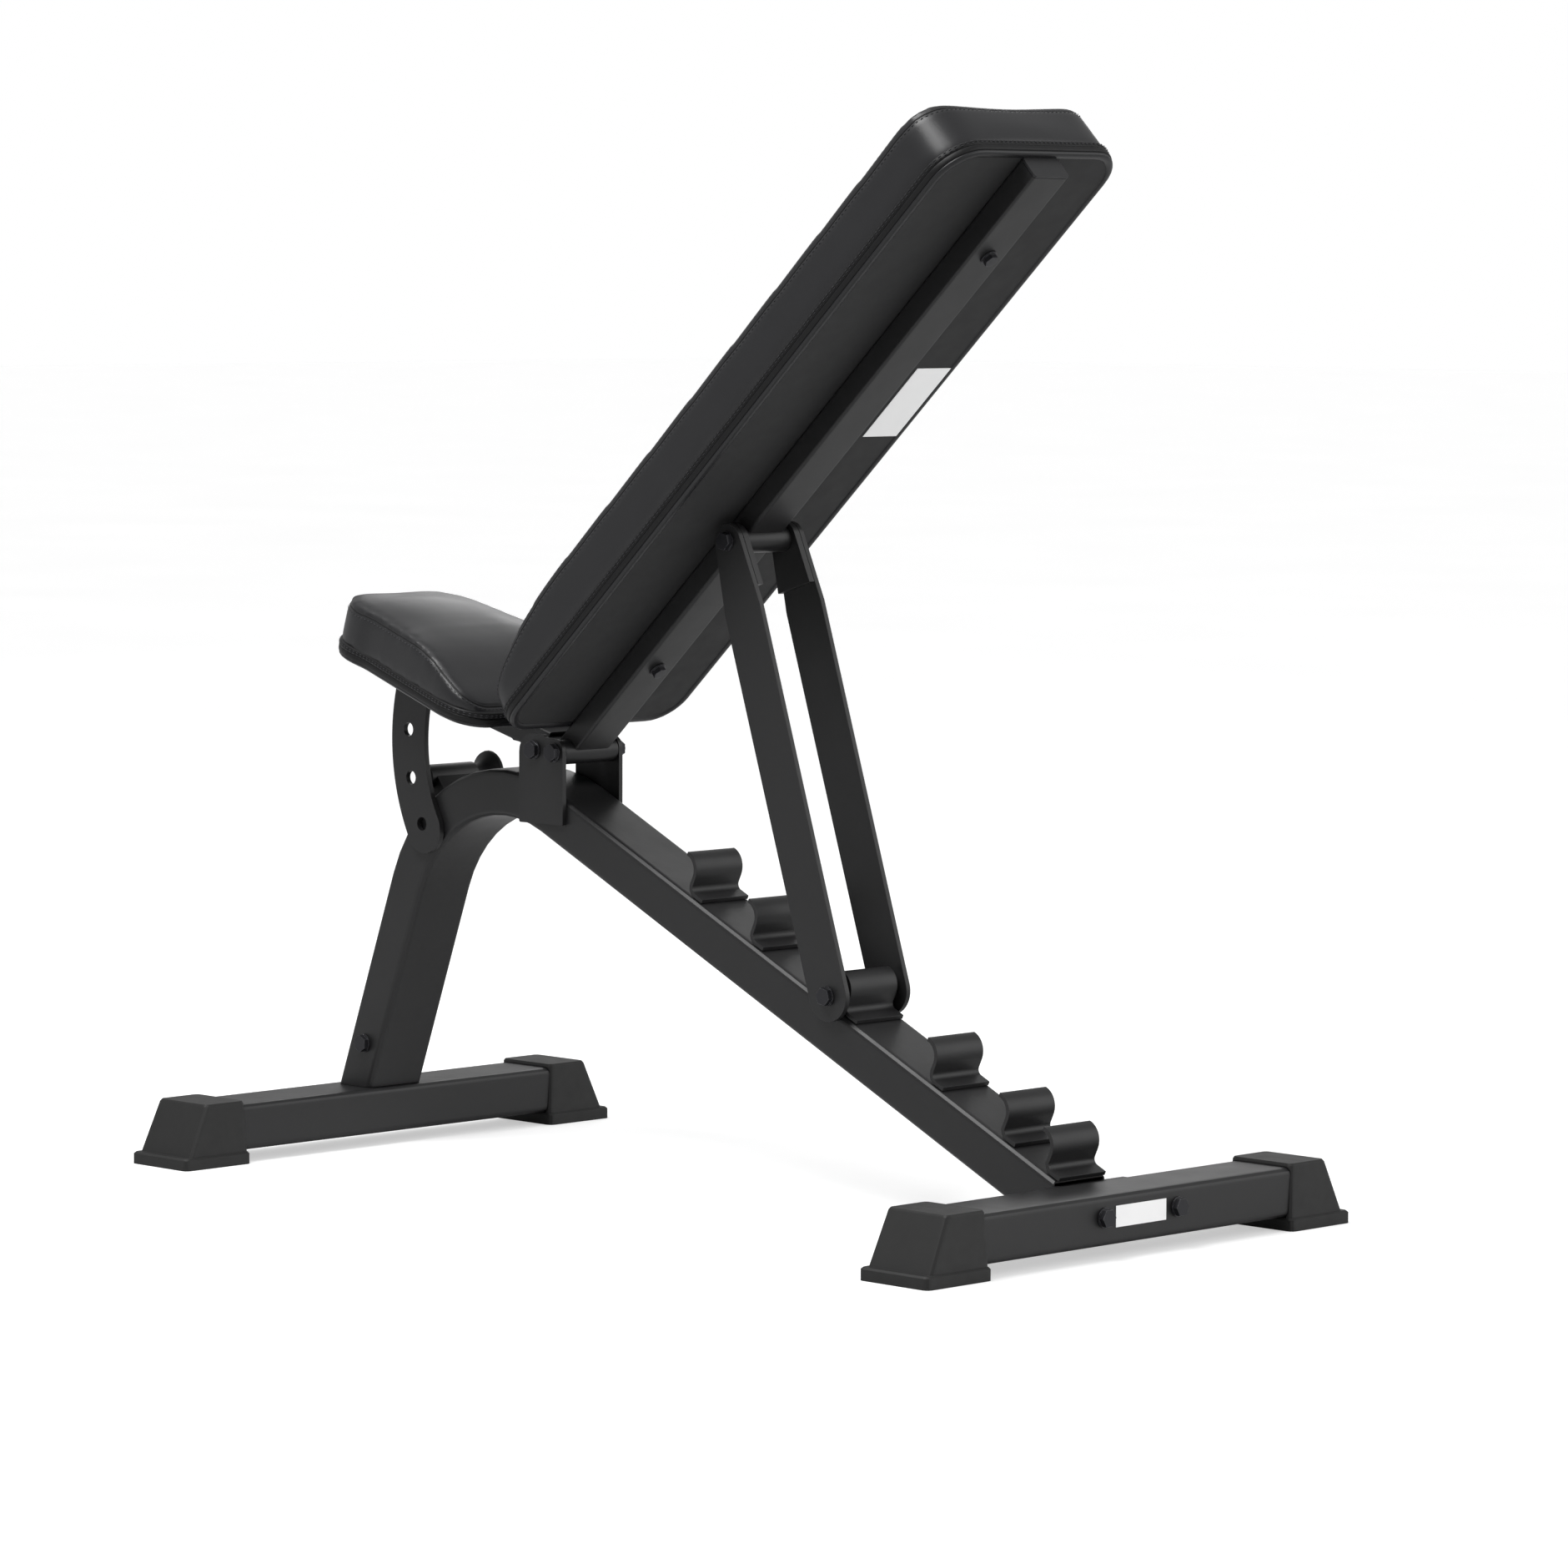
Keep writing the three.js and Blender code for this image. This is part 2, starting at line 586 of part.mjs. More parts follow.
function seatGroup() {
  const group = new THREE.Group();
  group.position.set(SEAT_PIVOT.x, 0, SEAT_PIVOT.z);
  group.rotation.y = SEAT_ANGLE * DEGREE;
  group.add(mesh("seat_pad", seatPad(), vinyl()));
  group.add(mesh("seat_board", seatBoard(), board()));
  group.add(mesh("seat_support_tube", supportTube(), paint()));
  const sleeve = pipeY(0, 0, SLEEVE.radius, SLEEVE.bore, SLEEVE.half);
  group.add(mesh("seat_hinge_sleeve", sleeve, paint()));
  const cross = block(-CROSS.to, -CROSS.from, ARC.near - 0.7, -SUPPORT.halfY - GAP, CROSS.low, CROSS.high);
  group.add(mesh("seat_cross_plate", cross, paint()));
  group.add(mesh("seat_arc_plate", arcPlate(), paint()));
  SEAT_BOLTS.forEach((s, i) => {
    const bolt = mesh(`seat_bolt_${i + 1}`, boltAlongZ(M8, 33), zinc());
    bolt.position.set(-s, 0, SUPPORT.low - GAP);
    group.add(bolt);
  });
  return group;
}

// ---- backrest: local x runs up the backrest, local z towards the sitter ----
function backPlan(inset) {
  const c = BACK_CORNER;
  return rounded([
    [BACK.bottom + inset, -BACK.half + inset, c.low],
    [BACK.top - inset, -BACK.half + inset, c.high],
    [BACK.top - inset, BACK.half - inset, c.high],
    [BACK.bottom + inset, BACK.half - inset, c.low],
  ]);
}

function backrestPad() {
  const { bottom, top, pad, front } = BACK;
  const edge = BACK_CORNER.front;
  const side = new THREE.Shape();
  side.moveTo(bottom, pad);
  side.bezierCurveTo(bottom, 48, 36, 62, 75, 74);
  side.bezierCurveTo(115, 86, 160, front, 215, front);
  side.lineTo(top - edge, front);
  side.quadraticCurveTo(top, front, top, front - edge);
  side.lineTo(top, pad);
  side.closePath();
  return slab(backPlan(0), pad, front).intersect(plate(side, -160, 160, 8));
}

function backrestBoard() {
  let body = slab(backPlan(BACK_CORNER.inset), BACK.board, BACK.pad - GAP);
  for (const s of BACK_BOLTS) {
    body = body.subtract(rod(M8.shaft + GAP, 0, 40, 20).translate([s, 0, 0]));
  }
  return body;
}

function spineTube() {
  const section = boxSection(SPINE.halfY, SPINE_HALF, SPINE.wall, 3.5);
  let body = alongBack(section, SPINE.top).rotate([0, 0, 180]).translate([0, 0, SPINE_MIDDLE]);
  for (const s of BACK_BOLTS) {
    body = body.subtract(rod(M8.shaft + GAP, -40, 40, 20).translate([s, 0, 0]));
  }
  return body
    .subtract(rodY(0, 0, SLEEVE.radius + GAP, -60, 60, 32))
    .subtract(rodY(STRUT_TOP.s, STRUT_TOP.h, CROSS_SLEEVE.radius + GAP, -60, 60, 32));
}

function spinePlug() {
  const room = SPINE.wall + 3 * GAP;
  const y = SPINE.halfY - room;
  const z = SPINE_HALF - room;
  const head = rounded([
    [-SPINE.halfY, -SPINE_HALF, 3.5],
    [SPINE.halfY, -SPINE_HALF, 3.5],
    [SPINE.halfY, SPINE_HALF, 3.5],
    [-SPINE.halfY, SPINE_HALF, 3.5],
  ]);
  const lid = alongBack(head, 3)
    .rotate([0, 0, 180])
    .translate([SPINE.top + GAP, 0, 0]);
  return union(lid, block(SPINE.top - 18, SPINE.top + 1, -y, y, -z, z)).translate([0, 0, SPINE_MIDDLE]);
}

function backGroup() {
  const group = new THREE.Group();
  group.position.set(BACK_PIVOT.x, 0, BACK_PIVOT.z);
  group.rotation.y = -BACK_ANGLE * DEGREE;
  group.add(mesh("backrest_pad", backrestPad(), vinyl()));
  group.add(mesh("backrest_board", backrestBoard(), board()));
  group.add(mesh("spine_tube", spineTube(), paint()));
  group.add(mesh("spine_end_plug", spinePlug(), rubber()));
  const hinge = pipeY(0, 0, SLEEVE.radius, SLEEVE.bore, SLEEVE.half);
  group.add(mesh("back_hinge_sleeve", hinge, paint()));
  const cross = pipeY(STRUT_TOP.s, STRUT_TOP.h, CROSS_SLEEVE.radius, SLEEVE.bore, CROSS_SLEEVE.half);
  group.add(mesh("strut_pivot_sleeve", cross, paint()));
  BACK_BOLTS.forEach((s, i) => {
    const bolt = mesh(`backrest_bolt_${i + 1}`, boltAlongZ(M8, 33), zinc());
    bolt.position.set(s, 0, SPINE.low - GAP);
    group.add(bolt);
  });
  const face = BACK.board - GAP;
  const { from, to, near, far } = BACK_LABEL;
  const label = block(from, to, near, far, face - LABEL_THICK, face);
  group.add(mesh("backrest_label", label, paper()));
  return group;
}

// ---- strut: local origin on the upper bolt, local -z towards the roller ----
function strutEnds() {
  const back = BACK_ANGLE * DEGREE;
  const top = {
    x: BACK_PIVOT.x + STRUT_TOP.s * Math.cos(back) - STRUT_TOP.h * Math.sin(back),
    z: BACK_PIVOT.z + STRUT_TOP.s * Math.sin(back) + STRUT_TOP.h * Math.cos(back),
  };
  const u = HOOKS[2] + HOOK.outer - HOOK.thick - GAP - ROLLER.radius;
  const v = ROLLER.radius + GAP;
  const low = {
    x: u * Math.cos(BEAM_ANGLE) + v * Math.sin(BEAM_ANGLE),
    z: BEAM_FACE - u * Math.sin(BEAM_ANGLE) + v * Math.cos(BEAM_ANGLE),
  };
  return { top, low };
}

function strutOutline(length, foot) {
  const { lowRadius, highRadius, taper } = STRUT;
  const side = Math.asin((lowRadius - highRadius) / taper);
  const outline = new THREE.Shape();
  outline.absarc(0, 0, highRadius, side, Math.PI - side, false);
  outline.lineTo(-lowRadius, -taper);
  if (foot) {
    outline.absarc(0, -length, lowRadius, Math.PI, FULL, false);
  } else {
    outline.lineTo(-lowRadius, -length);
    outline.lineTo(lowRadius, -length);
  }
  outline.lineTo(lowRadius, -taper);
  outline.closePath();
  return outline;
}

function strutBar(length, y0, y1) {
  return plate(strutOutline(length, true), y0, y1, 12)
    .subtract(rodY(0, 0, M10.shaft + GAP, -90, 90))
    .subtract(rodY(0, -length, M10.shaft + GAP, -90, 90));
}

function doubler(y0, y1) {
  const outline = strutOutline(STRUT.taper + 1, false);
  return plate(outline, y0, y1, 12)
    .subtract(block(-60, 60, -90, 90, -200, -DOUBLER.length))
    .subtract(rodY(0, 0, M10.shaft + GAP, -90, 90));
}

function strutGroup() {
  const { top, low } = strutEnds();
  const length = Math.hypot(low.x - top.x, low.z - top.z);
  const group = new THREE.Group();
  group.position.set(top.x, 0, top.z);
  group.rotation.y = -Math.atan2(low.x - top.x, top.z - low.z);
  group.add(mesh("strut_bar_near", strutBar(length, -STRUT.outer, -STRUT.inner), paint()));
  group.add(mesh("strut_bar_far", strutBar(length, STRUT.inner, STRUT.outer), paint()));
  group.add(mesh("strut_doubler_near", doubler(-DOUBLER.outer, -DOUBLER.inner), paint()));
  group.add(mesh("strut_doubler_far", doubler(DOUBLER.inner, DOUBLER.outer), paint()));
  const roller = pipeY(0, -length, ROLLER.radius, SLEEVE.bore, ROLLER.half);
  group.add(mesh("strut_roller", roller, paint()));
  group.add(...boltY("strut_upper", 0, 0, STRUT.outer + GAP, 106));
  group.add(...boltY("strut_lower", 0, -length, STRUT.outer + GAP, 106));
  return group;
}

const bench = new THREE.Group();
bench.add(frameMeshes(), pinGroup(), seatGroup(), backGroup(), strutGroup());

export default bench;
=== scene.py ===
# Looks of the adjustable weight bench: metres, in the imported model's own frame.
import json
import math
import bmesh
import bpy
from mathutils import Matrix, Vector
from mathutils.bvhtree import BVHTree
from mathutils.kdtree import KDTree
import numpy as np


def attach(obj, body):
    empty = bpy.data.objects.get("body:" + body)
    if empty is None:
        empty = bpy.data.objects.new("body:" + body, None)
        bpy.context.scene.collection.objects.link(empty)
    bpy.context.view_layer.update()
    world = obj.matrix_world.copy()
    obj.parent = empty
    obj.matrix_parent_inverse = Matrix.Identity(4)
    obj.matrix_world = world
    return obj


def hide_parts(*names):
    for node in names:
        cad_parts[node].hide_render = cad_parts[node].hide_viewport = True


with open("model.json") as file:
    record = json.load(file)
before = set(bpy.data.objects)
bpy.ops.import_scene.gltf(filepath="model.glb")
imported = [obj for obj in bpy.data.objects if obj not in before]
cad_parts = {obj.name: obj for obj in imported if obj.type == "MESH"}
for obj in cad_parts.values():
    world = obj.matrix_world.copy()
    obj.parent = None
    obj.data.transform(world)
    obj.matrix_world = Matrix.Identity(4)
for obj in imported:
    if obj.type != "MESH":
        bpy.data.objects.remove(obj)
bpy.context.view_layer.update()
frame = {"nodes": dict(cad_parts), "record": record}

RECORD = frame["record"]
BODY_OF = {node: body for body, nodes in RECORD["behaviour"]["bodies"].items() for node in nodes}
JOINT = {joint["name"]: joint for joint in RECORD["behaviour"]["joints"]}
MM = 0.001

# ---- camera: where the picture was taken from, and its long lens ----
CAMERA_PLACE = (4.6429, -4.5743, 0.9612)
CAMERA_HEADING, CAMERA_DROP, CAMERA_ROLL = (math.radians(a) for a in (44.886, 4.714, 0.208))
CAMERA_LENS = 145.92

# ---- sizes taken over from the CAD model ----
BACK_TILT, SEAT_TILT = math.radians(42.5), math.radians(15)
BACK = dict(bottom=19, top=898, half=124.5, low_corner=38, high_corner=43, rear=18.5, front=90)
SEAT = dict(
    rear=26, front=310, wide=118, slim=90, waist=(75, 230), waist_corner=90, rear_corner=33, front_corner=60,
    low=18.5,
)

# ---- sizes of the covers, in millimetres ----
VOXEL = 5             # the mesh that the cloth solver works on
HELD_HEIGHT = 22      # the cover stays on its foam up to this height above the board
SWELL_CAP = 10        # the most that a cover moves out
CLOTH_FRAMES = 20
SMOOTH_PASSES = 60    # over the cloth's movement, so that its buckles don't show
CORNER_STEPS = 8
SEAM_INSET = 2.5      # from the outline of a pad to its upper seam
STITCH_SIDE = 3.6     # from that seam to its stitches
# (outward, upward) round the binding's rolled rim and its flat strip, and its two stitch rows
RIM_PROFILE = [
    (-9, 1.4), (-8.6, -0.1), (-7, -0.9), (-4.6, -1.5), (-2.4, -1.3), (-0.9, -0.3), (-0.2, 1.1), (-0.6, 2.4),
    (-4, 3),
]
STRIP_PROFILE = [
    (-4, 2.4), (-0.9, 2.4), (0.3, 3.0), (0.8, 4.0), (0.9, 7.0), (0.7, 8.4), (-0.1, 8.9), (0.7, 9.4),
    (0.9, 10.4), (0.9, 13.2), (0.5, 14.5), (-0.8, 15.4), (-4, 15.8), (-9, 14.5),
]
STITCH_ROWS = (10.9, 13.0)
STITCH_OUT = 1.25

# ---- light levels ----
FLOOR_GLOW = 0.5      # seen by the camera only, so the floor reads white
WORLD_LIGHT = 0.5     # what lights the bench
BACKDROP = 1.0        # the white behind it


def make_camera():
    right = Vector((math.cos(CAMERA_HEADING), math.sin(CAMERA_HEADING), 0))
    ahead = Vector((
        -math.sin(CAMERA_HEADING) * math.cos(CAMERA_DROP),
        math.cos(CAMERA_HEADING) * math.cos(CAMERA_DROP),
        -math.sin(CAMERA_DROP),
    ))
    up = right.cross(ahead)
    c, s = math.cos(CAMERA_ROLL), math.sin(CAMERA_ROLL)
    turned = (c * right + s * up, c * up - s * right, -ahead)
    data = bpy.data.cameras.new("camera")
    data.lens = CAMERA_LENS
    data.sensor_width = 36
    data.clip_end = 100
    camera = bpy.data.objects.new("camera", data)
    bpy.context.scene.collection.objects.link(camera)
    camera.matrix_world = Matrix.Translation(CAMERA_PLACE) @ Matrix(turned).transposed().to_4x4()
    bpy.context.scene.camera = camera


# ---- materials ----
class Look:
    """A Principled material, with short ways to add the nodes that vary it."""

    def __init__(self, name, color, roughness, metallic=0.0, specular=0.35):
        self.material = bpy.data.materials.new(name)
        self.material.use_nodes = True
        self.tree = self.material.node_tree
        self.shader = self.tree.nodes["Principled BSDF"]
        self.color = color
        self.shader.inputs["Base Color"].default_value = (*color, 1)
        self.shader.inputs["Roughness"].default_value = roughness
        self.shader.inputs["Metallic"].default_value = metallic
        self.shader.inputs["Specular IOR Level"].default_value = specular
        self.place = self.node("ShaderNodeTexCoord").outputs["Object"]
        self.height = None

    def node(self, kind, **settings):
        made = self.tree.nodes.new(kind)
        for key, value in settings.items():
            if hasattr(made, key):
                setattr(made, key, value)
            else:
                made.inputs[key].default_value = value
        return made

    def link(self, source, target):
        self.tree.links.new(source, target)

    def noise(self, scale, detail=2.0, rough=0.5):
        made = self.node("ShaderNodeTexNoise", Scale=scale, Detail=detail, Roughness=rough)
        self.link(self.place, made.inputs["Vector"])
        return made.outputs["Fac"]

    def cells(self, scale, feature="F1"):
        made = self.node("ShaderNodeTexVoronoi", feature=feature, Scale=scale)
        self.link(self.place, made.inputs["Vector"])
        return made.outputs["Distance"]

    def spread(self, source, low, high, start=0.0, end=1.0):
        made = self.node("ShaderNodeMapRange")
        for i, value in enumerate((start, end, low, high), 1):
            made.inputs[i].default_value = value
        self.link(source, made.inputs[0])
        return made.outputs[0]

    def edges(self, radius):
        """1 near a sharp edge, 0 on a flat face."""
        bevel = self.node("ShaderNodeBevel", samples=4, Radius=radius)
        here = self.node("ShaderNodeNewGeometry")
        dot = self.node("ShaderNodeVectorMath", operation="DOT_PRODUCT")
        self.link(bevel.outputs[0], dot.inputs[0])
        self.link(here.outputs["Normal"], dot.inputs[1])
        return self.spread(dot.outputs["Value"], 1.0, 0.0, 0.75, 0.99)

    def multiply(self, a, b):
        made = self.node("ShaderNodeMath", operation="MULTIPLY")
        self.link(a, made.inputs[0])
        self.link(b, made.inputs[1])
        return made.outputs[0]

    def vary_color(self, factor, other):
        mix = self.node("ShaderNodeMix", data_type="RGBA")
        socket = self.shader.inputs["Base Color"]
        if socket.is_linked:
            self.link(socket.links[0].from_socket, mix.inputs["A"])
        else:
            mix.inputs[6].default_value = (*self.color, 1)
        mix.inputs[7].default_value = (*other, 1)
        self.link(factor, mix.inputs[0])
        self.link(mix.outputs[2], socket)

    def vary_roughness(self, source, low, high):
        self.link(self.spread(source, low, high), self.shader.inputs["Roughness"])

    def bump(self, height, strength, distance):
        made = self.node("ShaderNodeBump", Strength=strength, Distance=distance)
        self.link(height, made.inputs["Height"])
        if self.height is not None:
            self.link(self.height, made.inputs["Normal"])
        self.height = made.outputs[0]
        self.link(self.height, self.shader.inputs["Normal"])


def powder_coat():
    look = Look("powder_coat", (0.009, 0.009, 0.0095), 0.4)
    look.vary_color(look.spread(look.noise(9, 4), 0.0, 0.6), (0.013, 0.013, 0.0135))
    worn = look.spread(look.noise(55, 3), 0, 0.5, 0.45, 0.7)
    look.vary_color(look.multiply(look.edges(1.6 * MM), worn), (0.06, 0.06, 0.062))
    look.vary_roughness(look.noise(26, 5), 0.36, 0.5)
    look.bump(look.noise(900, 2), 0.25, 0.12 * MM)
    look.bump(look.noise(160, 1), 0.1, 0.3 * MM)
    return look.material


def black_zinc():
    look = Look("black_zinc", (0.022, 0.022, 0.025), 0.32, metallic=0.55)
    worn = look.spread(look.noise(240, 2), 0, 0.9, 0.35, 0.65)
    look.vary_color(look.multiply(look.edges(0.9 * MM), worn), (0.2, 0.2, 0.21))
    look.vary_roughness(look.noise(300, 4), 0.22, 0.48)
    look.bump(look.noise(1500, 2), 0.15, 0.1 * MM)
    return look.material


def vinyl():
    look = Look("vinyl", (0.0095, 0.0095, 0.0105), 0.36)
    look.vary_color(look.spread(look.noise(14, 3), 0.0, 0.5), (0.014, 0.014, 0.0155))
    look.vary_roughness(look.noise(30, 4), 0.33, 0.43)
    look.bump(look.cells(1100), 0.22, 0.12 * MM)
    look.bump(look.noise(520, 3), 0.12, 0.15 * MM)
    look.bump(look.noise(24, 2), 0.12, 1.2 * MM)
    return look.material


# A darker copy of the cover's vinyl for the binding strip and the seam welts. The strip and the welts are
# real parts, but their extra darkness is painted shade.
def shade_darkened_vinyl():
    look = Look("shade_darkened_vinyl", (0.0035, 0.0035, 0.0038), 0.45, specular=0.22)
    look.vary_color(look.spread(look.noise(40, 3), 0.0, 0.6), (0.006, 0.006, 0.0065))
    look.vary_roughness(look.noise(60, 3), 0.4, 0.55)
    look.bump(look.cells(1300), 0.25, 0.1 * MM)
    look.bump(look.noise(140, 2), 0.2, 0.4 * MM)
    return look.material


def thread():
    look = Look("thread", (0.02, 0.02, 0.023), 0.5)
    look.vary_color(look.spread(look.noise(1400, 2), 0.0, 1.0), (0.04, 0.04, 0.044))
    look.vary_roughness(look.noise(900, 2), 0.4, 0.65)
    look.bump(look.noise(2600, 2), 0.4, 0.1 * MM)
    return look.material


def backing_cloth():
    look = Look("backing_cloth", (0.016, 0.016, 0.0165), 0.72)
    look.vary_color(look.spread(look.noise(7, 4), 0.0, 0.7), (0.023, 0.023, 0.0235))
    look.vary_roughness(look.noise(45, 3), 0.62, 0.8)
    look.bump(look.cells(950), 0.35, 0.15 * MM)
    look.bump(look.noise(18, 3), 0.15, 0.8 * MM)
    return look.material


def moulded_rubber():
    look = Look("moulded_rubber", (0.0085, 0.0085, 0.0085), 0.5)
    look.vary_color(look.spread(look.noise(40, 4), 0.0, 0.7), (0.014, 0.014, 0.0138))
    worn = look.spread(look.noise(90, 3), 0, 0.4, 0.4, 0.7)
    look.vary_color(look.multiply(look.edges(1.2 * MM), worn), (0.045, 0.045, 0.044))
    look.vary_roughness(look.noise(70, 4), 0.5, 0.68)
    look.bump(look.noise(1300, 3), 0.3, 0.12 * MM)
    return look.material


def moulded_plastic():
    look = Look("moulded_plastic", (0.011, 0.011, 0.012), 0.45)
    look.vary_color(look.spread(look.noise(60, 3), 0.0, 0.6), (0.017, 0.017, 0.018))
    look.vary_roughness(look.noise(80, 3), 0.4, 0.55)
    look.bump(look.noise(1700, 2), 0.3, 0.1 * MM)
    return look.material


def paper_label():
    look = Look("paper_label", (0.95, 0.95, 0.95), 0.4)
    look.vary_color(look.spread(look.noise(70, 3), 0.0, 0.5), (0.9, 0.9, 0.9))
    look.vary_roughness(look.noise(120, 2), 0.4, 0.55)
    look.bump(look.noise(400, 2), 0.1, 0.1 * MM)
    return look.material


def floor_paint():
    look = Look("floor_paint", (0.68, 0.68, 0.68), 0.8, specular=0.1)
    look.vary_color(look.spread(look.noise(1.5, 3), 0.0, 0.3), (0.4, 0.4, 0.405))
    look.shader.inputs["Emission Color"].default_value = (1, 1, 1, 1)
    seen = look.node("ShaderNodeLightPath")
    glow = look.spread(seen.outputs["Is Camera Ray"], 0.0, FLOOR_GLOW)
    look.link(glow, look.shader.inputs["Emission Strength"])
    return look.material


MATERIALS = {
    "powder_coat": powder_coat(),
    "fastener": black_zinc(),
    "vinyl": vinyl(),
    # edge: the binding and welt vinyl, darkened with painted shade
    "edge": shade_darkened_vinyl(),
    "thread": thread(),
    "backing": backing_cloth(),
    "rubber": moulded_rubber(),
    "plastic": moulded_plastic(),
    "knob": moulded_plastic(),
    "label": paper_label(),
}
SLOT_OF = {part["node"]: part["material_slot"] for part in RECORD["subparts"]}


# ---- making pieces ----
def new_piece(name, bm, finish, body):
    data = bpy.data.meshes.new(name)
    bm.to_mesh(data)
    bm.free()
    piece = bpy.data.objects.new(name, data)
    bpy.context.scene.collection.objects.link(piece)
    piece.data.materials.append(MATERIALS[finish])
    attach(piece, body)
    return piece


def mark_sharp(bm, degrees):
    limit = math.radians(degrees)
    for face in bm.faces:
        face.smooth = True
    for edge in bm.edges:
        edge.smooth = len(edge.link_faces) == 2 and edge.calc_face_angle(math.pi) < limit


def baked(piece):
    """The piece's mesh with its modifiers in it."""
    shown = piece.evaluated_get(bpy.context.evaluated_depsgraph_get())
    data = bpy.data.meshes.new_from_object(shown)
    piece.modifiers.clear()
    old, piece.data = piece.data, data
    bpy.data.meshes.remove(old)
    return piece


def node_mesh(node):
    bm = bmesh.new()
    bm.from_mesh(frame["nodes"][node].data)
    bmesh.ops.remove_doubles(bm, verts=bm.verts, dist=2e-6)
    return bm


def finished(node, edge=0.5 * MM, segments=2, degrees=28):
    """Stands for a hard CAD node: the same shape with its edges eased and its curves smooth."""
    bm = node_mesh(node)
    bmesh.ops.dissolve_limit(bm, angle_limit=math.radians(1), verts=bm.verts, edges=bm.edges)
    slot = SLOT_OF[node]
    piece = new_piece(node + ".finish", bm, slot, BODY_OF[node])
    bevel = piece.modifiers.new("edges", "BEVEL")
    bevel.width = edge
    bevel.segments = segments
    bevel.limit_method = "ANGLE"
    bevel.angle_limit = math.radians(degrees)
    bevel.use_clamp_overlap = True
    baked(piece)
    bm = bmesh.new()
    bm.from_mesh(piece.data)
    mark_sharp(bm, 40)
    bm.to_mesh(piece.data)
    bm.free()
    weigh = piece.modifiers.new("flat faces stay flat", "WEIGHTED_NORMAL")
    weigh.keep_sharp = True
    weigh.weight = 100
    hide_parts(node)


def loft(bm, rings, close=True):
    """Faces between rings of equal length; the last ring joins the first when close is set."""
    rows = [[bm.verts.new(p) for p in ring] for ring in rings]
    pairs = list(zip(rows, rows[1:])) + ([(rows[-1], rows[0])] if close else [])
    for low, high in pairs:
        count = len(low)
        for i in range(count):
            j = (i + 1) % count
            bm.faces.new((low[i], low[j], high[j], high[i]))
    return rows


# ---- outlines of the two pads, in millimetres along (length, width) ----
def outline(corners, step=3.0):
    """Points and outward normals round [x, y, radius] corners, given counter-clockwise."""
    points = []
    for i, (x, y, radius) in enumerate(corners):
        here = Vector((x, y))
        before = (Vector(corners[i - 1][:2]) - here).normalized()
        after = (Vector(corners[(i + 1) % len(corners)][:2]) - here).normalized()
        turn = math.pi - before.angle(after)
        reach = radius * math.tan(turn / 2)
        centre = here + (before + after).normalized() * (radius / math.cos(turn / 2))
        start = here + before * reach - centre
        side = 1 if after.cross(before) > 0 else -1   # a waist corner turns the other way
        for k in range(CORNER_STEPS + 1):
            angle = side * turn * k / CORNER_STEPS
            c, s = math.cos(angle), math.sin(angle)
            points.append(centre + Vector((c * start.x - s * start.y, s * start.x + c * start.y)))
    lengths = [(points[(i + 1) % len(points)] - p).length for i, p in enumerate(points)]
    total = sum(lengths)
    count = int(total / step)
    result, i, passed = [], 0, 0.0
    for k in range(count):
        want = total * k / count
        while passed + lengths[i] < want:
            passed += lengths[i]
            i += 1
        a, b = points[i], points[(i + 1) % len(points)]
        result.append(a.lerp(b, (want - passed) / max(lengths[i], 1e-9)))
    normals = []
    for k, p in enumerate(result):
        along = result[(k + 1) % count] - result[k - 1]
        normals.append(Vector((along.y, -along.x)).normalized())
    return result, normals


def back_corners():
    b = BACK
    return [
        (b["bottom"], -b["half"], b["low_corner"]),
        (b["top"], -b["half"], b["high_corner"]),
        (b["top"], b["half"], b["high_corner"]),
        (b["bottom"], b["half"], b["low_corner"]),
    ]


def seat_corners():
    s = SEAT
    near = [
        (-s["rear"], -s["wide"], s["rear_corner"]),
        (-s["waist"][0], -s["wide"], s["waist_corner"]),
        (-s["waist"][1], -s["slim"], s["waist_corner"]),
        (-s["front"], -s["slim"], s["front_corner"]),
    ]
    far = [(x, -y, r) for x, y, r in reversed(near)]
    return list(reversed(near + far))


def local_frame(joint, tilt):
    """From millimetres along a tilted pad to the model's metres."""
    return Matrix.Translation(JOINT[joint]["pos_m"]) @ Matrix.Rotation(tilt, 4, "Y") @ Matrix.Scale(MM, 4)


BACK_FRAME = local_frame("backrest_recline", -BACK_TILT)
SEAT_FRAME = local_frame("seat_tilt", SEAT_TILT)


# ---- padded pieces ----
def soften(bm, times, factor=0.5):
    for _ in range(times):
        bmesh.ops.smooth_vert(
            bm, verts=bm.verts, factor=factor, use_axis_x=True, use_axis_y=True, use_axis_z=True)


